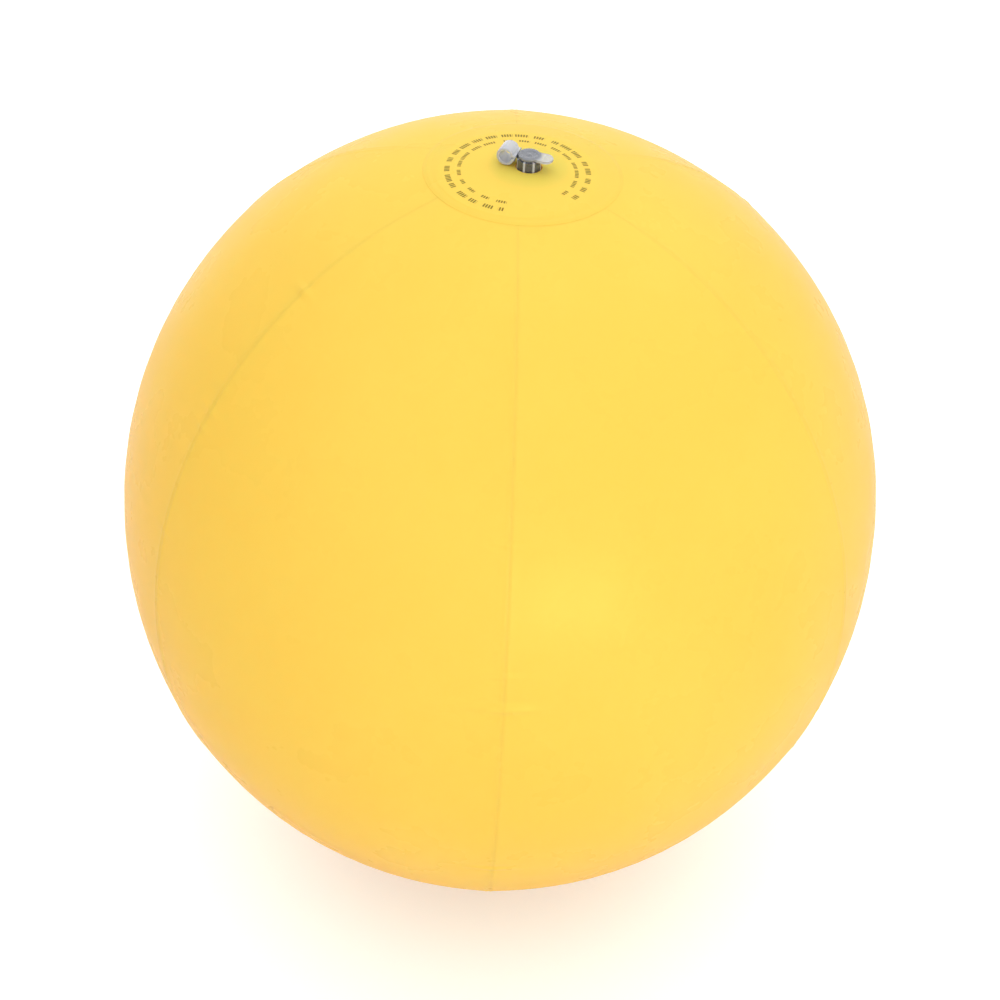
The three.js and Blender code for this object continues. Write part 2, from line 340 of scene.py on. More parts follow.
class SharedEffects:
    """Effects that more than one material uses, each a node group that is built once."""

    def __init__(self) -> None:
        """Build every group."""
        self.grain = self._grain()
        self.drift = self._drift()
        self.haze = self._haze()
        self.ticks = self._ticks()

    @staticmethod
    def _start(name: str, output: str, kind: SocketKind, values: tuple[str, ...],
               colours: tuple[str, ...] = ()) -> tuple[NodeSheet, dict[str, Socket], Socket]:
        """Make an empty group that takes a place, numbers and colours.

        Args:
            name: The group's name.
            output, kind: The name and the kind of what it puts out.
            values, colours: The names of the numbers and colours that it takes.

        Returns:
            The group's sheet, its inputs by name as sockets inside it, and its output.
        """
        tree = bpy.data.node_groups.new(name, "ShaderNodeTree")
        taken = {"Place": SocketKind.VECTOR, **dict.fromkeys(values, SocketKind.VALUE),
                 **dict.fromkeys(colours, SocketKind.COLOUR)}
        for label, its_kind in taken.items():
            tree.interface.new_socket(label, in_out="INPUT", socket_type=its_kind.value)
        tree.interface.new_socket(output, in_out="OUTPUT", socket_type=kind.value)
        sheet = NodeSheet(tree)
        entry = tree.nodes.new("NodeGroupInput")
        leave = tree.nodes.new("NodeGroupOutput")
        return sheet, {label: entry.outputs[label] for label in taken}, leave.inputs[output]

    def _grain(self) -> Tree:
        """Calendered grain with a slow ripple under it, as a height for a bump."""
        sheet, taken, given = self._start("calendered_grain", "Height", SocketKind.VALUE,
                                          ("Grain Scale", "Ripple Scale", "Ripple Share"))
        fine = sheet.noise(taken["Place"], taken["Grain Scale"], detail=3.0, roughness=0.55)
        ripple = sheet.noise(taken["Place"], taken["Ripple Scale"], detail=1.0)
        ripple = sheet.product(ripple, taken["Ripple Share"])
        sheet.feed(given, sheet.maths("ADD", fine, ripple))
        return sheet.tree

    def _drift(self) -> Tree:
        """Slow changes of tone, from one colour to another, as rolled film has."""
        sheet, taken, given = self._start("tone_drift", "Colour", SocketKind.COLOUR,
                                          ("Scale",), ("Plain", "Deep"))
        finer, close_share = 9.0, 0.3
        wide = sheet.noise(taken["Place"], taken["Scale"], detail=1.0)
        close = sheet.noise(taken["Place"], sheet.product(taken["Scale"], finer), detail=3.0)
        both = sheet.maths("ADD", sheet.product(wide, 1 - close_share),
                           sheet.product(close, close_share))
        share = sheet.ramped(both, 0.36, 0.64)
        sheet.feed(given, sheet.blended(share, taken["Plain"], taken["Deep"]))
        return sheet.tree

    def _haze(self) -> Tree:
        """Where hands have dulled the gloss, as a roughness between two values."""
        sheet, taken, given = self._start("handling_haze", "Roughness", SocketKind.VALUE,
                                          ("Scale", "Clean", "Handled"))
        cloud = sheet.noise(taken["Place"], taken["Scale"], detail=4.0, roughness=0.6)
        sheet.feed(given, sheet.ramped(cloud, 0.4, 0.68, taken["Clean"], taken["Handled"]))
        return sheet.tree

    def _ticks(self) -> Tree:
        """A printed ring of plain ticks in dashes of uneven length, as a mask.

        The ring is left open about one place, so that the ground stays bare there.
        """
        sheet, taken, given = self._start(
            "ring_of_ticks", "Mask", SocketKind.VALUE,
            ("Radius", "Width", "Dashes", "Ticks", "Phase", "Open At", "Open Half"))
        x, y, _ = sheet.node("SeparateXYZ", {0: taken["Place"]}).outputs
        squares = sheet.maths("ADD", sheet.product(x, x), sheet.product(y, y))
        off_line = sheet.gap(sheet.maths("SQRT", squares), taken["Radius"])
        band = sheet.ramped(sheet.maths("DIVIDE", off_line, taken["Width"]), 0.42, 0.56, 1.0, 0.0)
        turns = sheet.maths("DIVIDE", sheet.maths("ARCTAN2", y, x), 2 * math.pi)
        within_tick = sheet.maths("FRACT", sheet.product(turns, taken["Ticks"]))
        tick = sheet.ramped(sheet.gap(within_tick, 0.5), 0.24, 0.34, 1.0, 0.0)
        closed = sheet.maths("GREATER_THAN", sheet.gap(turns, taken["Open At"]),
                             taken["Open Half"])
        steps = sheet.product(sheet.maths("ADD", turns, taken["Phase"]), taken["Dashes"])
        chance = sheet.node("TexWhiteNoise", {"W": sheet.maths("FLOOR", steps)},
                            noise_dimensions="1D").outputs["Value"]
        shortest, spread = 0.5, 0.42
        length = sheet.maths("ADD", sheet.product(chance, spread), shortest)
        within = sheet.maths("FRACT", steps)
        start = sheet.ramped(within, 0.0, 0.06)
        stop = sheet.ramped(sheet.maths("SUBTRACT", length, within), -0.03, 0.03)
        sheet.feed(given, sheet.product(band, tick, closed, start, stop))
        return sheet.tree


# Finishes

class FinishSheet(NodeSheet):
    """The sheet of a finish, which has the shared effects and the place on the piece."""

    def __init__(self, material: Material, effects: SharedEffects) -> None:
        """Start on the material's empty sheet."""
        material.use_nodes = True
        super().__init__(material.node_tree)
        self.effects = effects
        self.place = self.node("TexCoord").outputs["Object"]

    def effect(self, tree: Tree, inputs: dict[str, object]) -> Socket:
        """Place a shared effect with its own values.

        Args:
            tree: The effect's node group.
            inputs: Values or sockets by input name.

        Returns:
            What the effect puts out.
        """
        made = self.node("Group", node_tree=tree)
        for name, value in {"Place": self.place, **inputs}.items():
            self.feed(made.inputs[name], value)
        return made.outputs[0]


@dataclass(frozen=True)
class Texture:
    """The fine texture of a finish: its haze, tone drift, grain and ripple."""

    clean: float
    handled: float
    haze_scale: float
    drift_scale: float
    grain_scale: float
    ripple_scale: float
    ripple_share: float
    grain_depth: float
    grain_strength: float

    def laid(self, sheet: FinishSheet, plain: object, deep: object) -> dict[str, Socket]:
        """Lay the texture over a finish.

        Args:
            sheet: The finish's sheet.
            plain, deep: The two tones that the finish drifts between.

        Returns:
            Colour, roughness and normal, by the shader's names for them.
        """
        height = sheet.effect(sheet.effects.grain, {
            "Grain Scale": self.grain_scale, "Ripple Scale": self.ripple_scale,
            "Ripple Share": self.ripple_share})
        bump = sheet.node("Bump", {"Height": height, "Strength": self.grain_strength,
                                   "Distance": self.grain_depth})
        drift = sheet.effect(sheet.effects.drift, {
            "Scale": self.drift_scale, "Plain": plain, "Deep": deep})
        haze = sheet.effect(sheet.effects.haze, {
            "Scale": self.haze_scale, "Clean": self.clean, "Handled": self.handled})
        return {"Base Color": drift, "Roughness": haze, "Normal": bump.outputs["Normal"]}


@dataclass(frozen=True)
class VinylFilm:
    """Satin, slightly translucent vinyl film."""

    name: str = "vinyl_film"
    colour: Colour = (1.0, 0.99, 0.185)
    deep_colour: Colour = (1.0, 0.96, 0.172)
    glow: Colour = (1.0, 0.64, 0.05)
    glow_share: float = 0.48
    gloss_tint: Colour = (1.0, 0.94, 0.25)
    gloss: float = 0.24
    texture: Texture = Texture(
        clean=0.27, handled=0.34, haze_scale=32.0, drift_scale=14.0, grain_scale=1400.0,
        ripple_scale=140.0, ripple_share=2.5, grain_depth=0.02 * MM, grain_strength=0.35)

    def make(self, effects: SharedEffects) -> Material:
        """Build the film's material.

        Args:
            effects: The shared node groups.

        Returns:
            The new material.
        """
        material = bpy.data.materials.new(self.name)
        sheet = FinishSheet(material, effects)
        look = self.texture.laid(sheet, self.colour, self.deep_colour)
        look["Base Color"] = self.printed(sheet, look["Base Color"])
        skin = sheet.node("BsdfPrincipled", {**look, "Specular IOR Level": self.gloss,
                                             "Specular Tint": self.gloss_tint})
        through = sheet.node("BsdfTranslucent", {
            "Color": self.printed(sheet, self.glow), "Normal": look["Normal"]})
        both = sheet.node("MixShader", {0: self.glow_share, 1: skin.outputs[0],
                                        2: through.outputs[0]})
        sheet.node("OutputMaterial", {"Surface": both.outputs[0]})
        return material

    def printed(self, sheet: FinishSheet, ground: object) -> object:
        """Lay the print over the ground colour: plain film has none."""
        return ground


@dataclass(frozen=True)
class TickRing:
    """A printed ring of plain ticks, which stand in dashes of uneven length."""

    radius: float
    width: float
    dashes: float
    ticks: float
    phase: float


@dataclass(frozen=True)
class PrintedFilm(VinylFilm):
    """The film of the valve patch, with a double ring of plain ticks, open at the front."""

    name: str = "printed_film"
    ink: Colour = from_screen(154, 133, 50)
    rings: tuple[TickRing, ...] = (TickRing(21.8 * MM, 1.7 * MM, 27.0, 160.0, 0.0),
                                   TickRing(18.2 * MM, 1.2 * MM, 21.0, 138.0, 0.31))
    open_at: float = -0.2
    open_half: float = 0.08

    def printed(self, sheet: FinishSheet, ground: object) -> Socket:
        """Lay both rings of ticks over the ground colour.

        Args:
            sheet: The film's sheet.
            ground: The colour without ink.

        Returns:
            The colour with ink.
        """
        shown = ground
        for ring in self.rings:
            mask = sheet.effect(sheet.effects.ticks, {
                "Radius": ring.radius, "Width": ring.width, "Dashes": ring.dashes,
                "Ticks": ring.ticks, "Phase": ring.phase, "Open At": self.open_at,
                "Open Half": self.open_half})
            shown = sheet.blended(mask, shown, self.ink)
        return shown


@dataclass(frozen=True)
class ClearPlastic:
    """Glossy clear soft plastic, darker about the valve's axis: partly the tint of thicker plastic,
    partly painted shade for the dark look through it.
    """

    name: str = "clear_soft_plastic"
    thin_colour: Colour = (0.78, 0.80, 0.86)
    thick_tint_and_shade: Colour = (0.40, 0.42, 0.47)
    thick_within: float = 3.2 * MM
    thin_beyond: float = 4.4 * MM
    clearness: float = 0.6
    bending: float = 1.5
    coat: float = 0.5
    drift_grey: Colour = (0.5, 0.5, 0.5)
    drift_share: float = 0.12
    texture: Texture = Texture(
        clean=0.03, handled=0.09, haze_scale=600.0, drift_scale=160.0, grain_scale=4000.0,
        ripple_scale=500.0, ripple_share=5.0, grain_depth=0.03 * MM, grain_strength=0.4)

    def make(self, effects: SharedEffects, axis: Pair) -> Material:
        """Build the plastic's material.

        Args:
            effects: The shared node groups.
            axis: Where the valve's axis stands on the ball.

        Returns:
            The new material.
        """
        material = bpy.data.materials.new(self.name)
        sheet = FinishSheet(material, effects)
        flat = sheet.node("VectorMath", {0: sheet.place, 1: (1.0, 1.0, 0.0)},
                          operation="MULTIPLY").outputs["Vector"]
        reach = sheet.node("VectorMath", {0: flat, 1: (*axis, 0.0)},
                           operation="DISTANCE").outputs["Value"]
        # Painted shade in part: the colour darkens towards the valve's axis, where the plastic is
        # thick and looks dark through.
        share = sheet.ramped(reach, self.thick_within, self.thin_beyond)
        tone = sheet.blended(share, self.thick_tint_and_shade, self.thin_colour)
        tone = self.painted_highlights(sheet, axis, tone)
        deep = sheet.blended(self.drift_share, tone, self.drift_grey)
        body = sheet.node("BsdfPrincipled", {
            **self.texture.laid(sheet, tone, deep), "IOR": self.bending,
            "Transmission Weight": self.clearness, "Coat Weight": self.coat})
        sheet.node("OutputMaterial", {"Surface": body.outputs[0]})
        return material

    def painted_highlights(self, sheet: FinishSheet, axis: Pair, tone: Socket) -> Socket:
        """Paint highlights over the tone: plain plastic has none."""
        return tone


@dataclass(frozen=True)
class RibbedPlastic(ClearPlastic):
    """The stem's plastic, with painted highlights on its upright ribs and painted shade between
    them.
    """

    name: str = "ribbed_soft_plastic"
    # The painted highlight colour of the ribs.
    rib_highlight_colour: Colour = (0.88, 0.9, 0.95)
    ribs: int = 8
    first_rib: float = math.radians(-69.5)

    def painted_highlights(self, sheet: FinishSheet, axis: Pair, tone: Socket) -> Socket:
        """Paint highlights on the ribs, standing for the light that the clear stem passes there.

        Args:
            sheet: The plastic's sheet.
            axis: Where the valve's axis stands on the ball.
            tone: The colour between the ribs.

        Returns:
            The colour with painted highlights on the ribs.
        """
        off_axis = sheet.node("VectorMath", {0: sheet.place, 1: (*axis, 0.0)},
                              operation="SUBTRACT").outputs["Vector"]
        x, y, _ = sheet.node("SeparateXYZ", {0: off_axis}).outputs
        around = sheet.maths("ARCTAN2", y, x)
        waves = sheet.product(sheet.maths("SUBTRACT", around, self.first_rib), float(self.ribs))
        # Painted highlight: light upright stripes laid into the colour over each rib.
        share = sheet.ramped(sheet.maths("COSINE", waves), 0.6, 0.95)
        return sheet.blended(share, tone, self.rib_highlight_colour)


def dressed(piece: Piece, finish: Material) -> Piece:
    """Give a piece its only material."""
    piece.data.materials.clear()
    piece.data.materials.append(finish)
    return piece


def stands_for(piece: Piece, node: str, body: str | None) -> Piece:
    """Set a piece in the place of a CAD node.

    Args:
        piece: The piece.
        node: The CAD node that it stands for.
        body: The body that it rides on, or None to leave it on no body.

    Returns:
        The same piece.
    """
    if body:
        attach(piece, body)
    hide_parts(node)
    return piece


# The ball

@dataclass(frozen=True)
class BallForm:
    """The inflated ball's sizes, the same as the CAD model's."""

    radius: float = 126 * MM
    pole_height: float = 132.3 * MM
    power: float = 2.04
    panel_count: int = 6
    first_seam: float = -math.pi / 2
    film: float = 0.25 * MM
    open_end: float = 25 * MM
    patch_radius: float = 31 * MM
    lap_gap: float = 0.15 * MM
    dome_radius: float = 250 * MM
    flat_radius: float = 15 * MM

    def panel_height(self, radius: Array) -> Array:
        """Height of the panels' outer face over the equator, by distance from the axis."""
        rest = 1 - (np.asarray(radius, float) / self.radius) ** self.power
        return self.pole_height * rest ** (1 / self.power)

    def patch_height(self, radius: Array) -> Array:
        """Height of a patch's outer face over the equator, by distance from the axis."""
        radius = np.asarray(radius, float)
        lift = self.lap_gap + self.film
        rise = (self.open_end ** 2 - radius ** 2) / (2 * self.dome_radius)
        dome = self.panel_height(self.open_end) + lift + rise
        return np.where(radius >= self.open_end, self.panel_height(radius) + lift, dome)

    @property
    def equator(self) -> float:
        """Height of the equator over the floor."""
        return float(self.patch_height(self.flat_radius))

    @property
    def end_turn(self) -> float:
        """The turn from the pole, in radians, at which the panels begin."""
        return math.asin((self.open_end / self.radius) ** (self.power / 2))

    def meridian(self, turns: Array) -> tuple[Array, Array, Array]:
        """Follow the round of the ball from the upper pole to the lower.

        Args:
            turns: Places along it, in radians.

        Returns:
            Distance from the axis, height over the equator, and the outward direction as
            columns for those two.
        """
        sine = np.sin(turns) ** (2 / self.power)
        cosine = np.abs(np.cos(turns)) ** (2 / self.power)
        side = np.sign(np.cos(turns))
        normal = np.stack([sine ** (self.power - 1) / self.radius,
                           side * cosine ** (self.power - 1) / self.pole_height], -1)
        normal /= np.linalg.norm(normal, axis=-1, keepdims=True)
        return self.radius * sine, self.pole_height * cosine * side, normal


@dataclass(frozen=True)
class Pucker:
    """A small crease that crosses a seam."""

    turn: float
    height: float
    width: float
    reach: float


@dataclass(frozen=True)
class FilmRelief:
    """The blown-up film's small unevenness, as height over the round of the ball."""

    form: BallForm
    ridge: float = 0.45 * MM
    ridge_width: float = 10 * MM
    lip: float = 0.1 * MM
    lip_place: float = 0.85 * MM
    lip_width: float = 0.45 * MM
    swell: float = 0.03 * MM
    swell_waves: int = 10
    swell_pitch: Pair = (9, 22)
    seed: int = 20
    loose_puckers: int = 6
    loose_turns: Pair = (math.radians(35), math.radians(145))
    loose_sizes: tuple[Pair, ...] = ((0.08, 0.2), (0.9, 1.6), (3.5, 7))
    front_puckers: tuple[Pucker, ...] = (
        Pucker(math.radians(58), 0.24 * MM, 1.0 * MM, 5 * MM),
        Pucker(math.radians(76), 0.26 * MM, 1.0 * MM, 5 * MM),
        Pucker(math.radians(80.8), 0.70 * MM, 1.4 * MM, 8 * MM),
        Pucker(math.radians(115), 0.30 * MM, 1.2 * MM, 5 * MM))

    def puckers(self, seam: int) -> tuple[Pucker, ...]:
        """The puckers across one seam.

        Args:
            seam: The seam's number; 0 is the front one.

        Returns:
            The puckers, from the top down.
        """
        seam %= self.form.panel_count
        if seam == 0:
            return self.front_puckers
        draw = np.random.default_rng(self.seed + seam)
        turns = np.sort(draw.uniform(*self.loose_turns, self.loose_puckers))
        return tuple(Pucker(float(turn), *(float(draw.uniform(*span)) * MM
                                           for span in self.loose_sizes)) for turn in turns)

    def across_seam(self, seam: int, turns: Array, distances: Array) -> Array:
        """Height near one seam: the roof-like ridge, the weld's lips and the puckers.

        Args:
            seam: The seam's number.
            turns: Places along the meridian, in radians.
            distances: Distances from the seam.

        Returns:
            The heights.
        """
        radius = self.form.meridian(turns)[0]
        off_patch = smoothstep(self.form.patch_radius, 2 * self.form.patch_radius, radius)
        height = self.ridge * np.exp(-distances / self.ridge_width) * off_patch
        off_lip = (distances - self.lip_place) / self.lip_width
        height = height + self.lip * np.exp(-off_lip ** 2) * off_patch
        for pucker in self.puckers(seam):
            along = (turns - pucker.turn) * self.form.radius / pucker.width
            crest = (1 - along ** 2) * np.exp(-along ** 2 / 2)
            height = height + pucker.height * crest * np.exp(-(distances / pucker.reach) ** 2)
        return height

    def swells(self, points: Array) -> Array:
        """Low waves that cross the whole ball, the same on both sides of every seam."""
        draw = np.random.default_rng(self.seed)
        ways = points / np.linalg.norm(points, axis=-1, keepdims=True)
        total = np.zeros(points.shape[:-1])
        for _ in range(self.swell_waves):
            wave = draw.normal(size=3)
            wave *= draw.uniform(*self.swell_pitch) / np.linalg.norm(wave)
            total += np.sin(ways @ wave + draw.uniform(0, 2 * math.pi))
        return self.swell * total / math.sqrt(self.swell_waves / 2)


@dataclass
class FilmPanel:
    """One panel of the ball, with the weld's fin turned in along both edges."""

    number: int
    form: BallForm
    relief: FilmRelief
    fin_depth: float = 2.5 * MM
    bend: float = 0.15 * MM
    bend_end: float = 60.0
    half_gap: float = 0.008 * MM
    row_pitch: float = 2.4 * MM
    least_pitch: float = 0.3 * MM
    near_steps: tuple[float, ...] = (
        0.15 * MM, 0.35 * MM, 0.55 * MM, 0.8 * MM, 1.05 * MM, 1.35 * MM, 2.0 * MM, 3.2 * MM)
    far_shares: tuple[float, ...] = (0.06, 0.13, 0.21, 0.31, 0.42, 0.54, 0.68, 0.84, 1.0)

    def stations(self) -> Array:
        """Places along the meridian where the panel is cut, closer together at puckers."""
        start, stop = self.form.end_turn, math.pi - self.form.end_turn
        count = round((stop - start) * self.form.radius / self.row_pitch)
        turns = list(np.linspace(start, stop, count + 1))
        for seam in (self.number - 1, self.number):
            for pucker in self.relief.puckers(seam):
                around = np.linspace(-3.2, 3.2, 17) * pucker.width / self.form.radius
                turns += list(pucker.turn + around)
        kept = [start]
        for turn in sorted(turns):
            if turn - kept[-1] > self.least_pitch / self.form.radius and turn < stop:
                kept.append(turn)
        return np.array([*kept, stop])

    def half_section(self, radius: Array) -> tuple[Array, Array, Array]:
        """Lay out half of the panel's section, from its middle to the tip of its fin.

        Args:
            radius: Distance of each station from the axis.

        Returns:
            For the outer and then the inner face, as stations by places: distance from the
            seam along the film, distance from the seam's plane, and depth.
        """
        half = radius[:, None] * math.pi / self.form.panel_count
        edge = self.half_gap + self.bend * math.cos(math.radians(self.bend_end))
        near = edge + np.array(self.near_steps)
        far = near[-1] + (half - near[-1]) * np.array(self.far_shares)[None, ::-1]
        flat = np.hstack([far, np.broadcast_to(near[::-1], (len(radius), len(near)))])
        turned = np.radians(np.linspace(90, self.bend_end, 5))
        outer_side = edge - self.bend * np.cos(turned)
        outer_sunk = self.bend * (1 - np.sin(turned))
        inner_side = self.half_gap + self.form.film + np.array([0.12, 0.06, 0.02, 0, 0]) * MM
        inner_sunk = self.form.film + np.array([0, 0.01, 0.03, 0.08, 0.2]) * MM
        faces = []
        for level, side, sunk in ((0.0, outer_side, outer_sunk),
                                  (self.form.film, inner_side, inner_sunk)):
            ends = [*side, side[-1], side[-1]]
            depths = [*[level] * flat.shape[1], *sunk, 0.5 * self.fin_depth, self.fin_depth]
            sides = np.hstack([flat, np.broadcast_to(ends, (len(radius), len(ends)))])
            faces.append((np.maximum(sides, edge), sides, np.broadcast_to(depths, sides.shape)))
        seams, sides, depths = (np.stack(layer) for layer in zip(*faces))
        return seams, sides, depths

    def build(self, finish: Material) -> Piece:
        """Make the panel.

        Args:
            finish: The film's material.

        Returns:
            The dressed panel, riding on the ball.
        """
        turns = self.stations()
        radius, height, normal = self.form.meridian(turns)
        along, sides, depths = self.half_section(radius)
        step = 2 * math.pi / self.form.panel_count
        middle = self.form.first_seam + step * (self.number - 0.5)
        off_patch = smoothstep(self.form.open_end, 1.5 * self.form.patch_radius, radius)
        off_patch = off_patch[:, None, None]
        skins: list[list[Array]] = [[], []]
        for way, seam in ((-1, self.number - 1), (1, self.number)):
            rise = self.relief.across_seam(seam, turns[:, None], along[0])
            for skin in (0, 1):
                depth = depths[skin] - rise
                reach = radius[:, None] - depth * normal[:, :1]
                flat = depths[skin] <= self.form.film
                angle = np.where(flat, sides[skin] / radius[:, None],
                                 np.arcsin(np.clip(sides[skin] / reach, -1, 1)))
                angle = middle + way * (step / 2 - angle)
                points = about_axis(angle, reach, height[:, None] - depth * normal[:, 1:])
                lift = self.relief.swells(points)[..., None] * off_patch
                skins[skin].append(points + lift * about_axis(angle, normal[:, :1],
                                                              normal[:, 1:]))
        outer, inner = (np.concatenate([skin[0][:, ::-1], skin[1][:, 1:]], 1) for skin in skins)
        rings = np.concatenate([outer, inner[:, ::-1]], 1)
        rings[..., 2] += self.form.equator
        node = f"panel_{self.number}"
        piece = dressed(ring_mesh(f"film_{node}", rings, Ends.LADDER, 50), finish)
        return stands_for(piece, node, "ball")


class PatchKind(Enum):
    """The two end patches."""

    VALVE = "valve_patch"
    BASE = "base_patch"


@dataclass
class EndPatch:
    """A round patch over the open ends of the panels."""

    kind: PatchKind
    form: BallForm
    middle: Pair = (0.0, 0.0)
    hole_middle: Pair = (0.0, 0.0)
    hole_radius: float = 0.4 * MM
    segments: int = 144
    weld_lift: float = 0.02 * MM
    weld_inset: float = 2.4 * MM
    weld_depth: float = 0.035 * MM
    weld_width: float = 0.35 * MM
    ripple_height: float = 0.03 * MM
    edge_thickness: float = 0.1 * MM
    edge_taper: float = 1.3 * MM
    nose: tuple[Pair, ...] = (
        (0.10 * MM, 0.0), (0.045 * MM, 0.012 * MM), (0.012 * MM, 0.035 * MM), (0.0, 0.06 * MM))

    def film_under(self, reach: Array) -> Array:
        """The patch's thickness, which the weld presses thin towards the rim."""
        inset = self.form.patch_radius - reach
        share = smoothstep(0, self.edge_taper, inset)
        return self.edge_thickness + (self.form.film - self.edge_thickness) * share

    def face_height(self, x: Array, y: Array, reach: Array) -> Array:
        """Height of the patch's outer face over the equator.

        Args:
            x, y: Places on the patch.
            reach: Their distance from the patch's own middle.

        Returns:
            The heights, with the weld's groove and small ripples inside it.
        """
        radius = np.hypot(x, y)
        if self.kind is PatchKind.BASE:
            radius = np.maximum(radius, self.form.flat_radius)
        height = self.form.patch_height(radius)
        opening = self.form.open_end
        welded = smoothstep(opening - 0.6 * MM, opening + 1.4 * MM, radius)
        height = height - (self.form.lap_gap - self.weld_lift) * welded
        height = height - (self.form.film - self.film_under(reach)) * welded
        rim = self.form.patch_radius
        groove = np.exp(-((reach - rim + self.weld_inset) / self.weld_width) ** 2)
        around = np.arctan2(y, x)
        ripple = np.sin(11 * around + 0.7) * np.sin(7 * around + 2.1) + 0.6 * np.sin(17 * around)
        within_weld = 1 - smoothstep(rim - 3.5 * MM, rim - 1.5 * MM, reach)
        loose = smoothstep(0.7 * rim, 0.85 * rim, reach) * within_weld
        return height - self.weld_depth * groove + self.ripple_height * ripple * loose

    def rings(self) -> Array:
        """Lay out the patch: outer face, rounded rim and inner face."""
        rim = self.form.patch_radius
        wide = np.concatenate([np.linspace(0, 0.88, 20), np.linspace(0.88, 1, 19)[1:]])
        radii = self.hole_radius + (rim - self.nose[0][0] - self.hole_radius) * wide
        inner_radii = np.concatenate([[rim - 0.02 * MM], radii[::-2]])
        insets, drops = np.array(self.nose[1:]).T
        drops = np.concatenate([np.zeros(len(radii)), drops])
        radii = np.concatenate([radii, rim - insets])
        if inner_radii[-1] > self.hole_radius:
            inner_radii = np.append(inner_radii, self.hole_radius)
        all_radii = np.concatenate([radii, inner_radii])
        all_drops = np.concatenate([drops, self.film_under(inner_radii)])
        around = whole_turn(self.segments)
        share = smoothstep(self.hole_radius, 0.75 * rim, all_radii)[:, None]
        place = [hole + (own - hole) * share for own, hole in zip(self.middle, self.hole_middle)]
        x = place[0] + all_radii[:, None] * np.cos(around)
        y = place[1] + all_radii[:, None] * np.sin(around)
        reach = np.hypot(x - self.middle[0], y - self.middle[1])
        height = self.face_height(x, y, reach) - all_drops[:, None]
        side = -1 if self.kind is PatchKind.BASE else 1
        return np.stack([x, y, self.form.equator + side * height], -1)

    def build(self, finish: Material) -> Piece:
        """Make the patch.

        Args:
            finish: The film's material.

        Returns:
            The dressed patch, riding on the ball.
        """
        node = self.kind.value
        ends = Ends.POINTS if self.kind is PatchKind.BASE else Ends.JOINED
        piece = dressed(ring_mesh(f"film_{node}", self.rings(), ends), finish)
        return stands_for(piece, node, "ball")


# The valve

